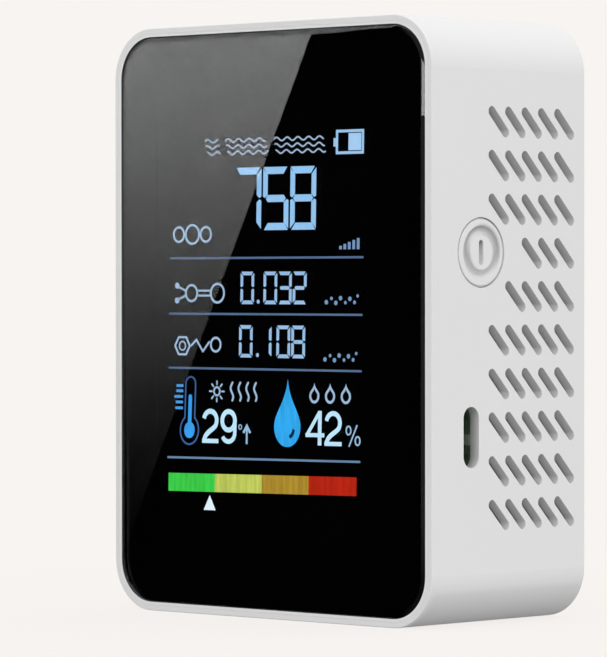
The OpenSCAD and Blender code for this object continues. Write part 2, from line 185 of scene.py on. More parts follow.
def white_case(name="white_case", base=(0.800, 0.800, 0.798), glass_gap_shade=None):
    m = Mat(name)
    m.principled(base, 0.44, IOR=1.46)
    slow = m.noise(30.0, 2.0)
    tone = m.ramp(slow, [(0.3, tuple(v - 0.004 for v in base)), (0.7, tuple(v + 0.004 for v in base))])
    x = m.t.nodes.new("ShaderNodeSeparateXYZ")
    m.link(m.co.outputs["Object"], x.inputs[0])
    # painted shade: the white walls of the port slot darken towards a dark green the deeper they go into the slot
    deep = m.map(x.outputs["X"], 0.46, 1.0, 0.0332, 0.03495)
    near_z = m.math("LESS_THAN", m.math("ABSOLUTE", m.math("SUBTRACT", x.outputs["Z"], PORT_Z)), 0.0052)
    near_y = m.math("LESS_THAN", m.math("ABSOLUTE", m.math("SUBTRACT", x.outputs["Y"], PORT_Y)), 0.0022)
    inside = m.math("MULTIPLY", m.math("GREATER_THAN", x.outputs["X"], 0.0331), m.math("MULTIPLY", near_y, near_z))
    port_shade_mix = m.t.nodes.new("ShaderNodeMix")
    port_shade_mix.data_type = "RGBA"
    m.link(m.math("MULTIPLY", inside, m.math("SUBTRACT", 1.0, deep)), port_shade_mix.inputs["Factor"])
    if glass_gap_shade is None:
        # painted shade: the underside of the rounded lower edge is darkened the more it faces down, away from the front
        # rim
        g = m.node("ShaderNodeNewGeometry")
        n = m.node("ShaderNodeSeparateXYZ")
        m.link(g.outputs["Normal"], n.inputs[0])
        down = m.ramp(
            m.math("MULTIPLY", n.outputs["Z"], -1.0),
            [(0.26, 1.0), (0.38, 0.925), (0.70, 0.895), (0.88, 0.855), (0.97, 0.80), (1.0, 0.80)],
        )
        back = m.map(x.outputs["Y"], 0.0, 1.0, -0.0179, -0.0168)
        underside_shade = m.math("SUBTRACT", 1.0, m.math("MULTIPLY", back, m.math("SUBTRACT", 1.0, down)))
        w = m.t.nodes.new("ShaderNodeVectorMath")
        w.operation = "SCALE"
        m.link(tone, w.inputs[0])
        m.link(underside_shade, w.inputs["Scale"])
        tone = w.outputs[0]
    m.link(tone, port_shade_mix.inputs["A"])
    port_shade_mix.inputs["B"].default_value = rgba((0.02, 0.06, 0.01))
    if glass_gap_shade is None:
        m.to(port_shade_mix.outputs["Result"], "Base Color")
    else:
        # painted shade: the wall that faces the glass is darkened near to black, as the shade in the gap round the
        # glass
        v = m.t.nodes.new("ShaderNodeVectorMath")
        v.operation = "SCALE"
        m.link(port_shade_mix.outputs["Result"], v.inputs[0])
        m.link(m.map(x.outputs["Y"], 1.0, glass_gap_shade, -0.018215, -0.018130), v.inputs["Scale"])
        m.to(v.outputs[0], "Base Color")
    fine = m.noise(2600.0, 2.0, 0.55)
    coarse = m.noise(900.0, 2.0, 0.5)
    both = m.math("ADD", m.math("MULTIPLY", fine, 0.7), m.math("MULTIPLY", coarse, 0.3))
    m.to(m.map(both, 0.41, 0.48), "Roughness")
    m.to(m.bump(both, 0.14, 0.00003), "Normal")
    return m.m


def steel(name, base=(0.62, 0.62, 0.63), rough=0.3, along=(1.0, 1.0, 1.0)):
    m = Mat(name)
    m.principled(base, rough, 1.0)
    v = m.stretched(along)
    fine = m.noise(2400.0, 3.0, 0.6, v)
    wide = m.noise(120.0, 3.0)
    m.to(
        m.ramp(
            wide,
            [
                (0.3, tuple(c * 0.86 for c in base)),
                (0.7, tuple(min(c * 1.08, 1) for c in base)),
            ],
        ),
        "Base Color",
    )
    m.to(m.map(fine, rough - 0.08, rough + 0.14), "Roughness")
    m.to(m.bump(fine, 0.12, 0.00002), "Normal")
    return m.m


def board(name, mask, copper):
    """Solder mask over copper: traces, pour and small vias, all from nodes."""
    m = Mat(name)
    m.principled(mask, 0.34, Coat_Weight=0.3, Coat_Roughness=0.2)
    v = m.stretched((1.0, 1.0, 1.0))
    cells = m.voronoi(260.0, v, "DISTANCE_TO_EDGE", "EUCLIDEAN")
    lines = m.math("LESS_THAN", cells.outputs["Distance"], 0.06)
    pour = m.math("GREATER_THAN", m.noise(60.0, 1.0), 0.52)
    dots = m.voronoi(420.0, v)
    vias = m.math("LESS_THAN", dots.outputs["Distance"], 0.13)
    mix = m.t.nodes.new("ShaderNodeMix")
    mix.data_type = "RGBA"
    m.link(m.math("MAXIMUM", m.math("MULTIPLY", pour, 0.45), lines), mix.inputs["Factor"])
    mix.inputs["A"].default_value = rgba(mask)
    mix.inputs["B"].default_value = rgba(tuple(min(c * 1.75 + 0.006, 1) for c in mask))
    mix2 = m.t.nodes.new("ShaderNodeMix")
    mix2.data_type = "RGBA"
    m.link(vias, mix2.inputs["Factor"])
    m.link(mix.outputs["Result"], mix2.inputs["A"])
    mix2.inputs["B"].default_value = rgba(copper)
    m.to(mix2.outputs["Result"], "Base Color")
    m.to(m.map(m.noise(900.0), 0.28, 0.42), "Roughness")
    m.to(m.bump(lines, 0.3, 0.00003), "Normal")
    return m.m


def film(name, base, rough, **more):
    m = Mat(name)
    m.principled(base, rough, **more)
    n = m.noise(180.0, 3.0)
    m.to(
        m.ramp(
            n,
            [
                (0.25, tuple(c * 0.93 for c in base)),
                (0.75, tuple(min(c * 1.05, 1) for c in base)),
            ],
        ),
        "Base Color",
    )
    m.to(m.map(m.noise(700.0), rough - 0.04, rough + 0.06), "Roughness")
    m.to(m.bump(m.noise(320.0), 0.12, 0.00004), "Normal")
    return m.m


def foil():
    m = Mat("battery_foil")
    m.principled((0.55, 0.56, 0.58), 0.36, 1.0)
    crease = m.voronoi(150.0, m.stretched((1.0, 1.0, 0.7)), "F1")
    m.to(
        m.ramp(m.noise(60.0, 3.0), [(0.3, (0.50, 0.51, 0.53)), (0.7, (0.62, 0.63, 0.65))]),
        "Base Color",
    )
    m.to(m.map(m.noise(1500.0), 0.3, 0.46), "Roughness")
    m.to(m.bump(crease.outputs["Distance"], 0.35, 0.00012), "Normal")
    return m.m


def membrane():
    """Woven filter cloth."""
    m = Mat("filter_membrane")
    m.principled((0.86, 0.86, 0.83), 0.85)
    v = m.stretched((1.0, 1.0, 1.0))
    a = m.t.nodes.new("ShaderNodeTexWave")
    a.inputs["Scale"].default_value = 700.0
    m.link(v, a.inputs["Vector"])
    b = m.t.nodes.new("ShaderNodeTexWave")
    b.bands_direction = "Z"
    b.inputs["Scale"].default_value = 700.0
    m.link(v, b.inputs["Vector"])
    w = m.math("MULTIPLY", a.outputs["Fac"], b.outputs["Fac"])
    m.to(m.ramp(w, [(0.0, (0.70, 0.70, 0.67)), (0.6, (0.88, 0.88, 0.85))]), "Base Color")
    m.to(m.bump(w, 0.5, 0.00005), "Normal")
    return m.m


def port_metal():
    """The port's drawn mouth, satin, coloured with painted shade: its metal is a dark green for the shade in the slot,
    darker on the lip than deeper in, and lighter where the liner is open.
    """
    m = Mat("port_metal")
    m.principled((0.022, 0.036, 0.024), 0.6, 0.1)
    x = m.t.nodes.new("ShaderNodeSeparateXYZ")
    m.link(m.co.outputs["Object"], x.inputs[0])
    lip_shade = m.map(x.outputs["X"], 1.6, 1.0, 0.03300, 0.03316)
    low = m.math("ABSOLUTE", m.math("SUBTRACT", x.outputs["Z"], 0.02906))
    opening = m.map(low, 1.0, 0.0, 0.00078, 0.00092)
    face = m.ramp(m.noise(700.0), [(0.3, (0.020, 0.034, 0.022)), (0.7, (0.024, 0.039, 0.026))])
    mix = m.t.nodes.new("ShaderNodeMix")
    mix.data_type = "RGBA"
    m.link(opening, mix.inputs["Factor"])
    m.link(face, mix.inputs["A"])
    mix.inputs["B"].default_value = rgba((0.115, 0.145, 0.112))
    v = m.t.nodes.new("ShaderNodeVectorMath")
    v.operation = "SCALE"
    m.link(mix.outputs["Result"], v.inputs[0])
    m.link(lip_shade, v.inputs["Scale"])
    m.to(v.outputs[0], "Base Color")
    m.to(m.map(m.noise(1800.0), 0.55, 0.68), "Roughness")
    return m.m


def button_white():
    """The moulded button: the case's white, with painted shade down in its groove, bar and shoulder."""
    m = Mat("white_button")
    base = (0.803, 0.803, 0.801)
    m.principled(base, 0.40, IOR=1.46)
    x = m.t.nodes.new("ShaderNodeSeparateXYZ")
    m.link(m.co.outputs["Object"], x.inputs[0])
    y = m.math("MULTIPLY", m.math("SUBTRACT", x.outputs["Y"], BUTTON_Y), 1000.0)
    z = m.math("MULTIPLY", m.math("SUBTRACT", x.outputs["Z"], BUTTON_Z), 1000.0)
    r = m.math("SQRT", m.math("ADD", m.math("MULTIPLY", y, y), m.math("MULTIPLY", z, z)))
    # r in mm over 8: bar and middle below 0.34, groove 0.34 to 0.53, shoulder beyond 0.645; the ramp paints shade into
    # the groove and onto the shoulder
    ring = m.ramp(
        m.math("DIVIDE", r, 8.0),
        [
            (0.340, 1.0), (0.372, 0.90), (0.431, 0.78), (0.490, 0.90),
            (0.525, 1.0), (0.646, 1.0), (0.652, 0.78), (1.0, 0.72),
        ],
    )
    # painted shade in the groove, deepest on its upper right outer side and its lower left inner side
    lean_ = m.math("ADD", m.math("MULTIPLY", m.math("DIVIDE", y, r), 0.52), m.math("MULTIPLY", m.math("DIVIDE", z, r), 0.44))
    groove_shade = m.ramp(
        m.math("DIVIDE", m.math("SUBTRACT", r, lean_), 8.0),
        [
            (0.350, 0.0), (0.382, 0.12), (0.408, 0.29), (0.438, 0.40), (0.466, 0.34),
            (0.496, 0.15), (0.530, 0.0),
        ],
    )
    groove_shade = m.math("MULTIPLY", groove_shade, m.map(m.math("DIVIDE", z, r), 0.35, 1.0, -1.0, -0.1))
    # the engraved bar: its floor lies 1.1 mm down, with painted shade darkest at its upper end
    floor_ = m.math("LESS_THAN", x.outputs["X"], 0.03480)
    in_bar = m.math("MULTIPLY", floor_, m.math("LESS_THAN", r, 2.3))
    bar_tip_shade = m.map(z, 0.0, 0.36, 1.1, 1.65)
    bar_shade = m.math("MULTIPLY", in_bar, m.math("ADD", m.map(z, 0.02, 0.18, -1.2, 1.1), bar_tip_shade))
    shade = m.math("MULTIPLY", ring, m.math("SUBTRACT", 1.0, m.math("MAXIMUM", bar_shade, groove_shade)))
    tone = m.ramp(m.noise(38.0, 2.0), [(0.3, tuple(c - 0.003 for c in base)), (0.7, tuple(c + 0.003 for c in base))])
    v = m.t.nodes.new("ShaderNodeVectorMath")
    v.operation = "SCALE"
    m.link(tone, v.inputs[0])
    m.link(shade, v.inputs["Scale"])
    m.to(v.outputs[0], "Base Color")
    fine = m.noise(2600.0, 2.0, 0.6)
    m.to(m.map(fine, 0.37, 0.45), "Roughness")
    m.to(m.bump(fine, 0.08, 0.00003), "Normal")
    return m.m


def foam():
    m = Mat("foam_tape")
    m.principled((0.012, 0.012, 0.013), 0.85)
    c = m.voronoi(2200.0)
    m.to(
        m.ramp(c.outputs["Distance"], [(0.0, (0.006, 0.006, 0.006)), (0.8, (0.02, 0.02, 0.022))]),
        "Base Color",
    )
    m.to(m.bump(c.outputs["Distance"], 0.5, 0.00005), "Normal")
    return m.m


def ink():
    """Screen-printed black on the back of the glass."""
    m = Mat("black_print")
    m.principled((0.0005, 0.0005, 0.0005), 0.7, Specular_IOR_Level=0.01)
    n = m.noise(1600.0)
    m.to(m.ramp(n, [(0.3, (0.0004, 0.0004, 0.0004)), (0.7, (0.0006, 0.0006, 0.0006))]), "Base Color")
    m.to(m.bump(n, 0.05, 0.00001), "Normal")
    return m.m


def polarizer():
    m = Mat("polarizer_film")
    m.principled((0.0005, 0.0005, 0.0006), 0.55, Specular_IOR_Level=0.01)
    n = m.noise(260.0)
    m.to(m.ramp(n, [(0.3, (0.0004, 0.0004, 0.0005)), (0.7, (0.0006, 0.0006, 0.0007))]), "Base Color")
    m.to(m.map(n, 0.5, 0.6), "Roughness")
    return m.m


def glass():
    """Clear cover glass with a faint smoke tint."""
    m = Mat("front_glass")
    m.principled((0.86, 0.87, 0.88), 0.0, IOR=1.50, Transmission_Weight=1.0)
    n = m.noise(24.0, 1.0)
    m.to(m.ramp(n, [(0.3, (0.850, 0.860, 0.870)), (0.7, (0.865, 0.872, 0.880))]), "Base Color")
    return m.m


GLASS_PASS = 0.80  # how much of a glyph's light gets out through the cover glass


def glow(name, srgb, vary=0.05, streaks=0.0, patch=220.0, gain=1.0):
    """A lit display segment: the colour it shows outside the glass, with the uneven backlight and the vertical brushing of the colour film."""
    m = Mat(name)
    c = tuple(v * gain / GLASS_PASS for v in lin(*srgb))
    p = m.principled((0.002, 0.002, 0.0025), 0.6, Specular_IOR_Level=0.01)
    slow = m.noise(patch, 2.0)
    low, high = 1 - vary, 1 + vary
    fac = m.map(slow, low, high)
    if streaks:
        v = m.stretched((1.0, 1.0, 0.08))
        brush = m.noise(1800.0, 2.0, 0.6, v)
        fac = m.math("MULTIPLY", fac, m.map(brush, 1 - streaks, 1 + streaks))
    p.inputs["Emission Color"].default_value = rgba(c)
    v = m.t.nodes.new("ShaderNodeVectorMath")
    v.operation = "SCALE"
    v.inputs[0].default_value = c
    m.link(fac, v.inputs["Scale"])
    m.link(v.outputs[0], p.inputs["Emission Color"])
    p.inputs["Emission Strength"].default_value = 1.0
    return m.m


MATS = {
    "white_case": white_case(),
    "white_button": button_white(),
    "screw_steel": steel("screw_steel", (0.50, 0.50, 0.51), 0.30),
    "front_glass": glass(),
    "black_print": ink(),
    "foam_tape": foam(),
    "polarizer_film": polarizer(),
    "lcd_glass": film("lcd_glass", (0.16, 0.18, 0.17), 0.12),
    "colour_film": film("colour_film", (0.35, 0.42, 0.55), 0.25),
    "light_guide": film("light_guide", (0.82, 0.85, 0.86), 0.22),
    "led_strip": film("led_strip", (0.90, 0.88, 0.70), 0.35),
    "white_frame": plastic("white_frame", (0.66, 0.66, 0.65), 0.5, 1500.0),
    "ribbon_film": film("ribbon_film", (0.52, 0.25, 0.05), 0.25),
    "socket_plastic": plastic("socket_plastic", (0.70, 0.67, 0.58), 0.45),
    "green_board": board("green_board", (0.010, 0.070, 0.028), (0.62, 0.52, 0.30)),
    "blue_board": board("blue_board", (0.010, 0.040, 0.130), (0.66, 0.56, 0.34)),
    "chip_black": plastic("chip_black", (0.018, 0.018, 0.020), 0.55, 2400.0, 0.25, 0.1),
    "tinned_metal": steel("tinned_metal", (0.66, 0.66, 0.64), 0.28),
    "ceramic_parts": film("ceramic_parts", (0.42, 0.33, 0.22), 0.4),
    "steel_can": steel("steel_can", (0.58, 0.58, 0.59), 0.26, (1.0, 1.0, 0.15)),
    "port_plastic": plastic("port_plastic", (0.036, 0.060, 0.040), 0.6),
    "gold_contacts": steel("gold_contacts", (0.80, 0.58, 0.24), 0.22),
    "switch_plastic": plastic("switch_plastic", (0.05, 0.05, 0.055), 0.5),
    "battery_foil": foil(),
    "amber_tape": film("amber_tape", (0.62, 0.30, 0.04), 0.22),
    "white_tape": film("white_tape", (0.78, 0.78, 0.76), 0.6),
    "lead_red": plastic("lead_red", (0.50, 0.02, 0.015), 0.4),
    "lead_black": plastic("lead_black", (0.015, 0.015, 0.016), 0.4),
    "gold_chamber": steel("gold_chamber", (0.78, 0.60, 0.30), 0.24, (0.2, 1.0, 1.0)),
    "filter_membrane": membrane(),
    "sensor_plastic": plastic("sensor_plastic", (0.72, 0.72, 0.70), 0.45),
}

for node in N.values():
    for s in node.material_slots:
        if s.material is not None:
            s.material = MATS[s.material.name.split(".")[0]]
N["usb_shell"].material_slots[0].material = port_metal()
# the bezel takes painted shade on its wall that faces the glass, at 0.08 of its white
N["front_bezel"].material_slots[0].material = white_case("white_bezel", (0.845, 0.845, 0.843), 0.08)

# Rounded CAD faces shade smoothly, flat ones stay crisp: the frame's own normals do that.
# The print would share a plane with the back of the glass, so its skin is drawn in by 10 microns.
thin = N["lens_mask"].modifiers.new("clear_of_glass", "DISPLACE")
thin.mid_level = 0.0
thin.strength = -0.00001
N["lens_panel"].visible_shadow = False


# ---------------------------------------------------------------- display glyphs

# Display coordinates are mm on the display's own plane: X to the right, Z up.
pol_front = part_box("lcd_polarizer")[0].y / MM
GY0, GY1 = pol_front - 0.045, pol_front - 0.01  # front and back of a lit segment


LEAN = 0.018
ROWS = (75.5, 66.9, 61.0, 52.7, 44.1, 36.0, 30.5, 21.5, 17.0)  # mid-heights of the display's rows


def lean(pts):
    """The photographed display leans a little: shift each outline sideways with height within its row."""
    mid = (min(p[1] for p in pts) + max(p[1] for p in pts)) / 2
    row = min(ROWS, key=lambda r: abs(r - mid))
    if len(pts) == 4 and abs(pts[0][1] - pts[2][1]) < 0.6:
        row = None
    rise = 0.0095 * min(max((39.7 - mid) / 14.3, 0.0), 1.3)
    return [(x + (LEAN * (z - row) if row else 0.0), z + rise * (x + 2.0)) for x, z in pts]


class Ink:
    """Collects closed flat solids, each a lit segment of the display."""

    def __init__(self, name, material, body="case", y0=GY0, y1=GY1):
        self.name, self.material, self.body = name, material, body
        self.y0, self.y1 = y0, y1
        self.bm = bmesh.new()

    def poly(self, pts):
        """A flat prism from a simple outline of (x, z) in mm."""
        pts = lean(pts)
        area = sum(
            pts[i][0] * pts[(i + 1) % len(pts)][1] - pts[(i + 1) % len(pts)][0] * pts[i][1]
            for i in range(len(pts))
        )
        if area < 0:
            pts = pts[::-1]
        f = [self.bm.verts.new((x * MM, self.y0 * MM, z * MM)) for x, z in pts]
        b = [self.bm.verts.new((x * MM, self.y1 * MM, z * MM)) for x, z in pts]
        self.bm.faces.new(f)
        self.bm.faces.new(b[::-1])
        n = len(pts)
        for i in range(n):
            j = (i + 1) % n
            self.bm.faces.new((f[j], f[i], b[i], b[j]))

    def ring(self, outer, glass_gap_shade):
        """A closed band between two outlines with the same number of points."""
        outer, glass_gap_shade = lean(outer), lean(glass_gap_shade)
        n = len(outer)
        fo, fi, bo, bi = (
            [self.bm.verts.new((x * MM, y * MM, z * MM)) for x, z in loop]
            for loop, y in ((outer, self.y0), (glass_gap_shade, self.y0), (outer, self.y1), (glass_gap_shade, self.y1))
        )
        for i in range(n):
            j = (i + 1) % n
            self.bm.faces.new((fo[i], fo[j], fi[j], fi[i]))
            self.bm.faces.new((bo[j], bo[i], bi[i], bi[j]))
            self.bm.faces.new((fo[j], fo[i], bo[i], bo[j]))
            self.bm.faces.new((fi[i], fi[j], bi[j], bi[i]))

    def circle(self, cx, cz, r, rz=None, n=40):
        rz = rz or r
        self.poly(
            [(cx + r * math.cos(2 * math.pi * i / n), cz + rz * math.sin(2 * math.pi * i / n)) for i in range(n)]
        )

    def annulus(self, cx, cz, r, w, rz=None, n=48):
        rz = rz or r
        ang = [2 * math.pi * i / n for i in range(n)]
        self.ring(
            [(cx + (r + w / 2) * math.cos(a), cz + (rz + w / 2) * math.sin(a)) for a in ang],
            [(cx + (r - w / 2) * math.cos(a), cz + (rz - w / 2) * math.sin(a)) for a in ang],
        )

    def stroke(self, pts, w, cap="butt", w_end=None):
        """A pen stroke of width w along pts."""
        n = len(pts)
        left, right = [], []
        for i in range(n):
            a = Vector(pts[max(i - 1, 0)])
            b = Vector(pts[i])
            c = Vector(pts[min(i + 1, n - 1)])
            d0 = (b - a).normalized() if i > 0 else (c - b).normalized()
            d1 = (c - b).normalized() if i < n - 1 else d0
            t = (d0 + d1).normalized()
            nrm = Vector((-t.y, t.x))
            half = w / 2
            if w_end is not None:
                half = (w + (w_end - w) * i / (n - 1)) / 2
            k = half / max(nrm.dot(Vector((-d0.y, d0.x))), 0.35)
            left.append(tuple(b + nrm * k))
            right.append(tuple(b - nrm * k))
        caps_end, caps_start = [], []
        if cap == "round":
            for at, nxt, store in ((pts[-1], pts[-2], caps_end), (pts[0], pts[1], caps_start)):
                d = (Vector(at) - Vector(nxt)).normalized()
                base = math.atan2(d.y, d.x)
                r = (w if (w_end is None or store is caps_start) else w_end) / 2
                for i in range(1, 8):
                    a = base + math.pi / 2 - math.pi * i / 8
                    store.append((at[0] + r * math.cos(a), at[1] + r * math.sin(a)))
        self.poly(left + caps_end + right[::-1] + caps_start)

    def rect(self, x0, z0, x1, z1):
        self.poly([(x0, z0), (x1, z0), (x1, z1), (x0, z1)])

    def done(self):
        bmesh.ops.recalc_face_normals(self.bm, faces=self.bm.faces)
        mesh = bpy.data.meshes.new(self.name)
        self.bm.to_mesh(mesh)
        self.bm.free()
        o = bpy.data.objects.new(self.name, mesh)
        bpy.context.scene.collection.objects.link(o)
        mesh.materials.append(self.material)
        o.visible_diffuse = False
        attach(o, self.body)
        return o


def arc(cx, cz, rx, rz, a0, a1, n=20):
    return [
        (
            cx + rx * math.cos(math.radians(a0 + (a1 - a0) * i / n)),
            cz + rz * math.sin(math.radians(a0 + (a1 - a0) * i / n)),
        )
        for i in range(n + 1)
    ]


def bezier(p0, p1, p2, p3, n=14):
    out = []
    for i in range(n + 1):
        t = i / n
        s = 1 - t
        out.append(
            tuple(
                s**3 * p0[k] + 3 * s * s * t * p1[k] + 3 * s * t * t * p2[k] + t**3 * p3[k]
                for k in (0, 1)
            )
        )
    return out


SEGS = {
    "0": "abcdef", "1": "bc", "2": "abged", "3": "abgcd", "4": "fgbc",
    "5": "afgcd", "6": "afgcde", "7": "abc", "8": "abcdefg", "9": "abcdfg",
}


def seven(ink, ch, x0, z0, w, h, tv, th, g):
    """One seven-segment numeral with mitred corners. tv and th are the widths of upright and level segments, g the gap."""
    x1, z1, zm = x0 + w, z0 + h, z0 + h / 2
    q = g * 0.75
    top = [(x0 + q * 1.4, z1), (x1 - q * 1.4, z1), (x1 - tv - q * 0.2, z1 - th), (x0 + tv + q * 0.2, z1 - th)]
    bot = [(x, 2 * zm - z) for x, z in top]
    ur = [
        (x1, z1 - q * 1.7),
        (x1, zm + q + th * 0.16),
        (x1 - tv * 0.42, zm + q * 0.9),
        (x1 - tv, zm + th * 0.5 + q * 0.3),
        (x1 - tv, z1 - th - q * 0.9),
    ]
    lr = [(x, 2 * zm - z) for x, z in ur]
    ul = [(x0 + x1 - x, z) for x, z in ur]
    ll = [(x0 + x1 - x, 2 * zm - z) for x, z in ur]
    mid = [
        (x0 + tv * 0.5 + q, zm),
        (x0 + tv + q * 0.4, zm + th / 2),
        (x1 - tv - q * 0.4, zm + th / 2),
        (x1 - tv * 0.5 - q, zm),
        (x1 - tv - q * 0.4, zm - th / 2),
        (x0 + tv + q * 0.4, zm - th / 2),
    ]
    for s in SEGS[ch]:
        ink.poly({"a": top, "b": ur, "c": lr, "d": bot, "e": ll, "f": ul, "g": mid}[s])


BLUE = (148, 196, 238)

# Big reading
big = Ink("reading_main", glow("lit_main", BLUE, 0.04, 0.03))
for i, ch in enumerate("758"):
    seven(big, ch, -7.92 + 6.02 * i, 61.90, 5.62, 10.05, 1.00, 1.13, 0.18)
big.done()

# Two small readings
small = Ink("readings_small", glow("lit_small", (154, 191, 228), 0.05))
for x, ch in ((-6.93, "0"), (-1.80, "0"), (1.40, "3"), (4.65, "2")):
    seven(small, ch, x, 50.10, 3.00, 5.20, 0.55, 0.58, 0.20)
small.circle(-2.95, 50.50, 0.32, 0.32, 20)
for x, ch in ((-7.27, "0"), (-3.06, "1"), (1.06, "0"), (4.32, "8")):
    seven(small, ch, x, 41.55, 3.00, 5.18, 0.55, 0.58, 0.20)
small.circle(-3.13, 41.97, 0.32, 0.32, 20)
small.done()

# Temperature and humidity numerals, a round sans face
num = Ink("readings_climate", glow("lit_climate", (190, 229, 248), 0.04))


def two(x0, z0, w, h, t):
    r = w / 2 - t / 2
    cx, cz = x0 + w / 2 - 0.02, z0 + h - t / 2 - r * 1.02
    path = arc(cx, cz, r, r * 1.02, 168, -28, 22)
    path += bezier(path[-1], (path[-1][0] - 0.35, path[-1][1] - 0.75), (x0 + t * 0.75, z0 + h * 0.32), (x0 + t * 0.62, z0 + t * 0.5), 12)[1:]
    num.stroke(path, t)
    num.rect(x0 + 0.02, z0, x0 + w, z0 + t * 0.86)


def nine(x0, z0, w, h, t):
    r = w / 2 - t / 2
    rz = h * 0.335 - t / 2
    cx, cz = x0 + w / 2, z0 + h - t / 2 - rz
    num.annulus(cx, cz, r, t, rz)
    tail = [(cx + r, cz + 0.25), (cx + r, cz - 0.3)]
    tail += arc(cx - 0.02, z0 + t / 2 + r * 1.0, r + 0.02, r * 1.0, 0, -152, 20)
    num.stroke(tail, t * 0.92)


def four(x0, z0, w, h, t):
    stem = x0 + w * 0.66
    num.rect(stem, z0, stem + t, z0 + h)
    num.rect(x0, z0 + h * 0.235, x0 + w, z0 + h * 0.235 + t * 0.84)
    num.stroke([(x0 + t * 0.42, z0 + h * 0.30), (stem + t * 0.42, z0 + h - 0.18)], t * 0.80)


two(-15.64, 27.74, 3.70, 5.52, 0.80)
nine(-11.50, 27.64, 3.66, 5.62, 0.80)
four(7.45, 27.80, 4.06, 5.45, 0.76)
two(11.56, 27.74, 3.70, 5.52, 0.76)
num.done()

# Percent sign, degree ring, and a trend arrow beside the ring
marks = Ink("reading_marks", glow("lit_marks", (150, 186, 215), 0.04))
marks.annulus(16.72, 30.25, 0.50, 0.27, 0.66, 28)
marks.annulus(18.68, 28.62, 0.50, 0.27, 0.66, 28)
marks.stroke([(16.85, 27.72), (18.55, 31.12)], 0.26)
marks.annulus(-7.05, 30.42, 0.32, 0.18, 0.36, 24)
marks.stroke([(-5.55, 27.70), (-5.55, 30.20)], 0.36)
marks.poly([(-6.50, 29.60), (-5.55, 30.98), (-4.60, 29.60), (-4.96, 29.40), (-5.55, 30.22), (-6.14, 29.40)])
marks.done()

# Symbols that stand where the photographed display has words


def wave(ink, x0, x1, z, amp, length, w, phase=0.0):
    n = max(int((x1 - x0) / 0.18), 6)
    ink.stroke(
        [
            (x0 + (x1 - x0) * i / n, z + amp * math.sin(2 * math.pi * ((x1 - x0) * i / n) / length + phase))
            for i in range(n + 1)
        ],
        w,
        "round",
    )


# title row: three runs of air-flow lines
title = Ink("title_waves", glow("lit_title", (160, 180, 205), 0.05))
for x0, x1 in ((-14.9, -11.5), (-10.3, -0.8), (0.5, 11.8)):
    for k, z in enumerate((76.35, 75.35, 74.35)):
        wave(title, x0 + 0.25 * k, x1 - 0.25 * (2 - k), z, 0.27, 2.35, 0.24, 0.9 * k)
title.done()

sym = Ink("symbols", glow("lit_symbols", (160, 188, 216), 0.06))
SW = 0.36
# carbon dioxide row: three balls in line with double bonds
sym.annulus(-20.95, 61.35, 1.18, SW)
sym.annulus(-17.87, 61.35, 1.52, SW)
sym.annulus(-14.79, 61.35, 1.18, SW)
# formaldehyde row: two small balls, two rings
sym.circle(-21.35, 53.05, 0.50, 0.50, 24)
sym.circle(-21.35, 50.65, 0.50, 0.50, 24)
sym.stroke([(-20.85, 52.80), (-19.45, 52.25)], 0.32)
sym.stroke([(-20.85, 50.90), (-19.45, 51.45)], 0.32)
sym.annulus(-18.05, 51.85, 1.30, SW)
sym.stroke([(-16.50, 52.25), (-13.85, 52.25)], 0.30)
sym.stroke([(-16.50, 51.45), (-13.85, 51.45)], 0.30)
sym.annulus(-12.15, 51.85, 1.50, SW)
# vapour row: hexagon ring with a side chain
hexo = [(-20.15 + 1.90 * math.cos(math.radians(60 * i)), 43.30 + 1.80 * math.sin(math.radians(60 * i))) for i in range(6)]
hexi = [(-20.15 + 1.50 * math.cos(math.radians(60 * i)), 43.30 + 1.42 * math.sin(math.radians(60 * i))) for i in range(6)]
sym.ring(hexo, hexi)
sym.annulus(-20.15, 43.30, 0.70, 0.24, None, 32)
sym.stroke([(-18.20, 43.30), (-16.95, 44.30), (-15.45, 42.45), (-13.95, 44.05)], 0.32)
sym.annulus(-12.55, 43.55, 1.10, SW)
# above the temperature: a sun and rising heat
sym.annulus(-12.30, 36.05, 0.66, 0.32, None, 32)
for i in range(8):
    a = math.radians(45 * i)
    sym.stroke(
        [(-12.30 + r * math.cos(a), 36.05 + r * math.sin(a)) for r in (1.12, 1.62)],
        0.28,
        "round",
    )
for cx in (-8.9, -7.15, -5.4, -3.65):
    sym.stroke(
        [(cx + 0.30 * math.sin(2 * math.pi * i / 16 * 1.0 + 0.4), 34.65 + 2.85 * i / 16) for i in range(17)],
        SW,
        "round",
    )


def drop_outline(cx, top, bottom, half, n=16):
    """Outline of a falling drop, point up."""
    zc = bottom + half * 1.12
    right = bezier((cx, top), (cx + half * 0.16, top - (top - zc) * 0.50), (cx + half, zc + half * 0.78), (cx + half, zc), n)
    low = [
        (cx + half * math.cos(math.radians(-a)), zc + half * 1.12 * math.sin(math.radians(-a)))
        for a in [180 * i / (2 * n) for i in range(1, 2 * n)]
    ]
    left = [(2 * cx - x, z) for x, z in right[::-1]][:-1]
    return right + low + left


def shrink(pts, cx, cz, k):
    return [(cx + (x - cx) * k, cz + (z - cz) * k) for x, z in pts]


# above the humidity: three small drops
for cx in (9.35, 12.75, 16.15):
    o = drop_outline(cx, 37.62, 34.45, 1.08, 8)
    sym.ring(o, shrink(o, cx, 35.62, 0.64))
sym.done()

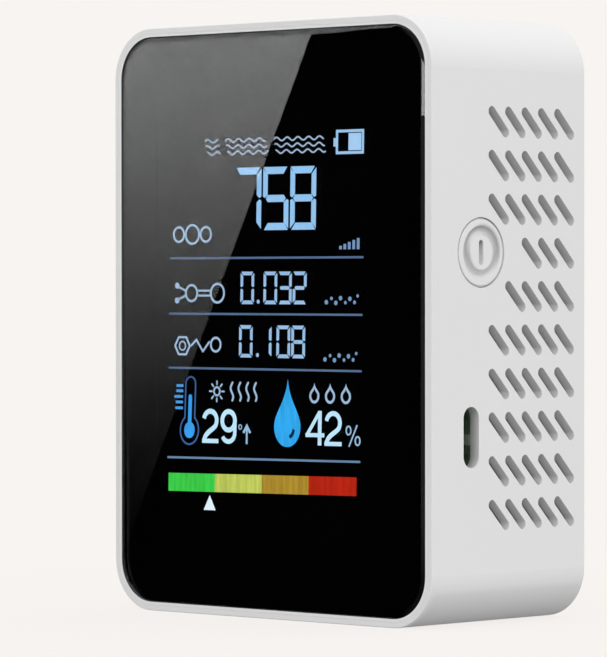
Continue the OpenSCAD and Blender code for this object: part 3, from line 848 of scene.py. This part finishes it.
# Unit marks: level bars and particle dots
unit = Ink("unit_symbols", glow("lit_units", (118, 150, 188), 0.06))
for i in range(5):
    unit.rect(14.75 + 0.95 * i, 58.75, 15.30 + 0.95 * i, 59.30 + 0.30 * i)
for ox, oz in ((11.5, 49.9), (11.2, 40.9)):
    for dx, dz, r in (
        (0.5, 0.55, 0.36), (1.6, 1.15, 0.28), (2.55, 0.45, 0.36), (3.55, 1.20, 0.36),
        (4.60, 0.50, 0.28), (5.55, 1.10, 0.36), (6.55, 0.55, 0.30), (7.20, 1.55, 0.26),
    ):
        unit.circle(ox + dx, oz + dz, r, r, 18)
unit.done()

# Rules between the rows
for name, colour, spans in (
    ("rules", (86, 110, 144), ((57.50, -22.92, 19.90), (48.50, -23.15, 19.70), (39.70, -23.35, 19.50))),
    ("rule_low", (108, 136, 168), ((25.32, -23.65, 19.20),)),
):
    rules = Ink(name, glow("lit_" + name, colour, 0.05))
    for z, x0, x1 in spans:
        rules.rect(x0, z - 0.17, x1, z + 0.17)
    rules.done()

# Battery symbol
bat = Ink("battery_symbol", glow("lit_battery", (152, 196, 234), 0.03, 0.02))
bx0, bx1, bz0, bz1, bw = 14.06, 20.04, 73.66, 77.50, 0.44
bat.ring(
    [(bx0, bz0), (bx1, bz0), (bx1, bz1), (bx0, bz1)],
    [(bx0 + bw, bz0 + bw), (bx1 - bw, bz0 + bw), (bx1 - bw, bz1 - bw), (bx0 + bw, bz1 - bw)],
)
bat.rect(bx0 - 0.52, 74.88, bx0 - 0.02, 76.22)
bat.done()
charge = Ink("battery_charge", glow("lit_charge", (164, 202, 238), 0.03, 0.02))
charge.rect(16.76, bz0 + bw + 0.13, bx1 - bw - 0.13, bz1 - bw - 0.13)
charge.done()

# Thermometer: outline tube and bulb, column, ticks
tline = Ink("thermometer_outline", glow("lit_thermo_line", (62, 98, 150), 0.05))
tcx, tbz, tr, br = -18.42, 29.74, 1.12, 2.08


def bulb(r_tube, r_bulb, top, n=26):
    """Closed outline of a tube of half width r_tube, rounded on top, over a bulb."""
    a = math.asin(min(r_tube / r_bulb, 0.999))
    pts = [(tcx + r_tube * math.cos(math.radians(t)), top - r_tube + r_tube * math.sin(math.radians(t))) for t in [180 * i / 12 for i in range(13)]]
    sweep = 2 * math.pi - 2 * a
    start = math.pi / 2 + a
    pts += [(tcx + r_bulb * math.cos(start + sweep * i / n), tbz + 1.12 * r_bulb * math.sin(start + sweep * i / n)) for i in range(n + 1)]
    return [(x + 0.024 * (z - 36.0), z) for x, z in pts]


tline.ring(bulb(tr + 0.13, br + 0.13, 38.48), bulb(tr - 0.13, br - 0.13, 38.22))
tline.done()
tfill = Ink("thermometer_column", glow("lit_thermo", (58, 156, 232), 0.06, 0.05))
tfill.poly(bulb(0.38, 1.18, 35.50))
tfill.done()
ticks = Ink("thermometer_ticks", glow("lit_ticks", (74, 152, 222), 0.04))
for x0, x1, z in (
    (-21.52, -19.98, 36.86), (-21.56, -20.02, 36.02), (-22.02, -20.06, 35.10),
    (-21.70, -20.08, 34.22), (-21.80, -20.10, 33.28),
):
    ticks.rect(x0, z - 0.22, x1, z + 0.22)
ticks.done()

# Water drop with its crescent glint cut out as a darker crescent in front
drop = Ink("humidity_drop", glow("lit_drop", (50, 166, 234), 0.05, 0.16))
drop.poly(drop_outline(3.42, 38.15, 27.42, 2.88, 18))
drop.done()
glint = Ink("drop_glint", glow("lit_glint", (12, 40, 74), 0.05), y0=GY0 - 0.02, y1=GY0 - 0.005)
glint.poly(
    arc(3.38, 30.35, 1.75, 1.80, -66, -8, 12) + arc(3.08, 30.66, 1.60, 1.60, -10, -64, 12)
)
glint.done()

# Four-colour scale and its pointer
edges = (-23.40, -12.78, -2.24, 8.08, 18.42)
for name, colour, i in (
    ("scale_green", (62, 205, 74), 0),
    ("scale_yellow", (191, 202, 92), 1),
    ("scale_amber", (171, 138, 46), 2),
    ("scale_red", (179, 36, 17), 3),
):
    s = Ink(name, glow("lit_" + name, colour, 0.04, 0.17))
    s.rect(edges[i], 19.90, edges[i + 1] - 0.02, 22.84)
    s.done()
tri = Ink("scale_pointer", glow("lit_pointer", (226, 244, 250), 0.03))
tri.poly([(-15.33, 16.96), (-12.63, 16.96), (-13.98, 19.36)])
tri.done()


# ---------------------------------------------------------------- stage


def stage_mesh(name, verts, faces, material):
    mesh = bpy.data.meshes.new(name)
    mesh.from_pydata(verts, [], faces)
    o = bpy.data.objects.new(name, mesh)
    bpy.context.scene.collection.objects.link(o)
    if material is not None:
        mesh.materials.append(material)
    return o


# World: the camera sees the plain backdrop, everything else is lit by a soft sky
world = bpy.data.worlds.new("studio")
bpy.context.scene.world = world
world.use_nodes = True
wt = world.node_tree
wt.nodes.clear()
w_out = wt.nodes.new("ShaderNodeOutputWorld")
w_path = wt.nodes.new("ShaderNodeLightPath")
w_co = wt.nodes.new("ShaderNodeTexCoord")
w_xyz = wt.nodes.new("ShaderNodeSeparateXYZ")
wt.links.new(w_co.outputs["Generated"], w_xyz.inputs[0])
w_map = wt.nodes.new("ShaderNodeMapRange")
w_map.interpolation_type = "SMOOTHSTEP"
w_map.inputs["From Min"].default_value = -0.22
w_map.inputs["From Max"].default_value = 0.22
w_map.inputs["To Min"].default_value = 0.348
w_map.inputs["To Max"].default_value = 1.055
wt.links.new(w_xyz.outputs["Z"], w_map.inputs["Value"])
w_sky = wt.nodes.new("ShaderNodeBackground")
w_sky.inputs["Color"].default_value = (1.0, 1.0, 1.0, 1.0)
wt.links.new(w_map.outputs["Result"], w_sky.inputs["Strength"])
w_bg = wt.nodes.new("ShaderNodeBackground")
w_bg.inputs["Color"].default_value = rgba(BACKDROP)
w_mix = wt.nodes.new("ShaderNodeMixShader")
wt.links.new(w_path.outputs["Is Camera Ray"], w_mix.inputs[0])
wt.links.new(w_sky.outputs[0], w_mix.inputs[1])
wt.links.new(w_bg.outputs[0], w_mix.inputs[2])
wt.links.new(w_mix.outputs[0], w_out.inputs["Surface"])

# Floor: backdrop tone, with a soft contact shadow round the object only
fm = Mat("floor")
f_emit = fm.t.nodes.new("ShaderNodeEmission")
f_emit.inputs["Color"].default_value = rgba(BACKDROP)
f_diff = fm.t.nodes.new("ShaderNodeBsdfDiffuse")
f_diff.inputs["Color"].default_value = (0.840, 0.810, 0.787, 1.0)
f_len = fm.t.nodes.new("ShaderNodeVectorMath")
f_len.operation = "LENGTH"
fm.link(fm.co.outputs["Object"], f_len.inputs[0])
f_fac = fm.map(f_len.outputs["Value"], 0.12, 0.0, 0.03, 0.16)
f_mix = fm.t.nodes.new("ShaderNodeMixShader")
fm.link(f_fac, f_mix.inputs[0])
fm.link(f_emit.outputs[0], f_mix.inputs[1])
fm.link(f_diff.outputs[0], f_mix.inputs[2])
fm.link(f_mix.outputs[0], fm.out.inputs["Surface"])
R = 6.0
ring_n = 64
floor = stage_mesh(
    "floor",
    [(R * math.cos(2 * math.pi * i / ring_n), R * math.sin(2 * math.pi * i / ring_n), -0.00002) for i in range(ring_n)],
    [tuple(range(ring_n))],
    fm.m,
)
floor.visible_diffuse = False
floor.visible_glossy = False
floor.visible_transmission = False
floor.visible_shadow = False

# Key light, from the button side and a little to the front
key = bpy.data.lights.new("key", "AREA")
key.shape = "SQUARE"
key.size = 0.6
key.energy = 3.25
key_o = bpy.data.objects.new("key", key)
bpy.context.scene.collection.objects.link(key_o)
kd = Vector((math.cos(math.radians(24.5)), -math.sin(math.radians(24.5)), 0.0))
key_o.location = Vector((0, 0, 0.0475)) + kd * 1.2
key_o.rotation_mode = "QUATERNION"
key_o.rotation_quaternion = (kd).to_track_quat("Z", "Y")
key_o.visible_glossy = False
key_o.visible_transmission = False
key_o.visible_camera = False

# Camera, from the fit to the photographed edges, vents and port
T = Vector((0.0, 0.0, 47.5))
A_, E_, R_ = math.radians(43.646), math.radians(0.618), math.radians(-0.042)
back = Vector((math.sin(A_) * math.cos(E_), -math.cos(A_) * math.cos(E_), math.sin(E_)))
right = Vector((math.cos(A_), math.sin(A_), 0.0))
up = back.cross(right)
R2 = math.cos(R_) * right + math.sin(R_) * up
U2 = -math.sin(R_) * right + math.cos(R_) * up
C = T + back * 700.193 + right * (-6.966) + up * (-1.404)
cam = bpy.data.cameras.new("camera")
cam.sensor_fit = "AUTO"
cam.sensor_width = 36.0
cam.lens = 4319.29 * 36.0 / 657.0
cam.clip_start, cam.clip_end = 0.02, 60.0
cam_o = bpy.data.objects.new("camera", cam)
bpy.context.scene.collection.objects.link(cam_o)
from mathutils import Matrix

cam_o.matrix_world = Matrix(
    (
        (R2.x, U2.x, back.x, C.x * MM),
        (R2.y, U2.y, back.y, C.y * MM),
        (R2.z, U2.z, back.z, C.z * MM),
        (0, 0, 0, 1),
    )
)
bpy.context.scene.camera = cam_o

# What the front glass mirrors: a black screen all round the front, and one graded soft box
fl = Mat("flag")
fl_e = fl.t.nodes.new("ShaderNodeEmission")
fl_e.inputs["Strength"].default_value = 1.0
fl_x = fl.t.nodes.new("ShaderNodeSeparateXYZ")
fl.link(fl.co.outputs["Object"], fl_x.inputs[0])
fl_a = fl.math("ARCTAN2", fl_x.outputs["X"], fl.math("MULTIPLY", fl_x.outputs["Y"], -1.0))
# the screen's grey part dims downwards, its far side first
fl_far = fl.map(fl_a, 0.0, 1.0, math.radians(5), math.radians(40))
fl_out = fl.map(fl_x.outputs["Z"], 0.85, 0.0, -0.10, 0.08)
fl_low = fl.map(fl_x.outputs["Z"], 0.28, 1.0, -0.172, -0.125)
fl_dim = fl.math("MULTIPLY", fl_low, fl.math("SUBTRACT", 1.0, fl.math("MULTIPLY", fl_far, fl_out)))
fl.link(
    fl.math("MULTIPLY", fl_dim, fl.map(fl_a, 0.0, 0.30, math.radians(-40), math.radians(-30))),
    fl_e.inputs["Color"],
)
fl.link(fl_e.outputs[0], fl.out.inputs["Surface"])
verts, faces = [], []
az = [math.radians(-110 + 210 * i / 43) for i in range(44)]
el = [math.radians(-75 + 103 * i / 25) for i in range(26)]
for e in el:
    for a in az:
        verts.append((2.6 * math.sin(a) * math.cos(e), -2.6 * math.cos(a) * math.cos(e), 0.05 + 2.6 * math.sin(e)))
for j in range(25):
    for i in range(43):
        k = j * 44 + i
        faces.append((k, k + 1, k + 45, k + 44))
flag = stage_mesh("flag", verts, faces, fl.m)

y_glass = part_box("lens_panel")[0].y / MM
L = 300.0
s_ = L / (y_glass - C.y)
cm = Mat("softbox")
c_e = cm.t.nodes.new("ShaderNodeEmission")
c_x = cm.t.nodes.new("ShaderNodeSeparateXYZ")
cm.link(cm.co.outputs["Object"], c_x.inputs[0])
# height on the glass that this height of the card is mirrored at, in mm
c_z = cm.math("DIVIDE", cm.math("ADD", cm.math("MULTIPLY", c_x.outputs["Z"], 1000.0), C.z * s_), 1 + s_)
GLOSS = 0.050
stops = ((3.0, 0), (16.5, 5), (26.0, 15), (34.5, 27), (42.8, 42), (51.0, 55), (59.0, 70), (67.3, 82), (75.5, 96), (83.8, 105), (90.0, 112), (94.0, 116))
c_f = cm.map(c_z, 0.0, 1.0, 3.0, 94.0)
r = cm.t.nodes.new("ShaderNodeValToRGB")
e_ = r.color_ramp.elements
while len(e_) < len(stops):
    e_.new(1.0)
top_v = lin(116)[0] / GLOSS
for i, (z, v) in enumerate(stops):
    e_[i].position = (z - 3.0) / 91.0
    q = lin(v)[0] / GLOSS / top_v
    e_[i].color = (q, q, q, 1)
cm.link(c_f, r.inputs["Fac"])
# the box falls off towards its far side, where only the glass's curved edge mirrors it
c_side = cm.math(
    "MULTIPLY",
    cm.map(c_x.outputs["X"], 0.35, 1.0, -0.65, -0.36),
    cm.map(c_x.outputs["Z"], 1.0, 0.50, 0.125, 0.185),
)
# a grain far finer than a pixel, with a mean of one, so that its mirror image cleans up evenly
c_n = cm.t.nodes.new("ShaderNodeTexWhiteNoise")
c_n.noise_dimensions = "3D"
cm.link(cm.co.outputs["Object"], c_n.inputs["Vector"])
c_side = cm.math("MULTIPLY", c_side, cm.math("MULTIPLY", cm.math("GREATER_THAN", c_n.outputs["Value"], 0.5), 2.0))
c_v = cm.t.nodes.new("ShaderNodeVectorMath")
c_v.operation = "SCALE"
cm.link(r.outputs["Color"], c_v.inputs[0])
cm.link(c_side, c_v.inputs["Scale"])
cm.link(c_v.outputs[0], c_e.inputs["Color"])
c_e.inputs["Strength"].default_value = top_v
cm.link(c_e.outputs[0], cm.out.inputs["Surface"])


def on_card(x, z):
    return ((x * (1 + s_) - C.x * s_) * MM, (y_glass - L) * MM, (z * (1 + s_) - C.z * s_) * MM)


def edge_x(z):
    return 9.68 - 0.511 * (93.14 - z)


low_edge, high_edge = on_card(edge_x(3.2), 3.2), on_card(edge_x(95.0), 95.0)
card = stage_mesh(
    "softbox",
    [
        (-1.4, low_edge[1], 0.40), (high_edge[0], low_edge[1], 0.40), high_edge, low_edge,
        (-1.4, low_edge[1], low_edge[2]),
    ],
    [(0, 1, 2, 3, 4)],
    cm.m,
)

# A narrow light high on the right, mirrored only in the right-hand edge of the glass
em = Mat("edge_light")
e_e = em.t.nodes.new("ShaderNodeEmission")
e_e.inputs["Color"].default_value = (1.0, 1.0, 1.0, 1.0)
e_e.inputs["Strength"].default_value = 7.3
em.link(e_e.outputs[0], em.out.inputs["Surface"])
strip_az = [math.radians(-27 + 59 * i / 16) for i in range(17)]
strip = stage_mesh(
    "edge_light",
    [(2.5 * math.sin(a), -2.5 * math.cos(a), z) for z in (0.175, 0.320) for a in strip_az],
    [(i, i + 1, i + 18, i + 17) for i in range(16)],
    em.m,
)

for o in (flag, card, strip):
    o.visible_camera = False
    o.visible_diffuse = False
    o.visible_shadow = False
    o.visible_volume_scatter = False
card.visible_transmission = False
strip.visible_transmission = False

# ---------------------------------------------------------------- view transform and finish

bpy.context.scene.view_settings.view_transform = "Standard"
bpy.context.scene.view_settings.look = "None"
bpy.context.scene.view_settings.exposure = 0.0
bpy.context.scene.view_settings.gamma = 1.0
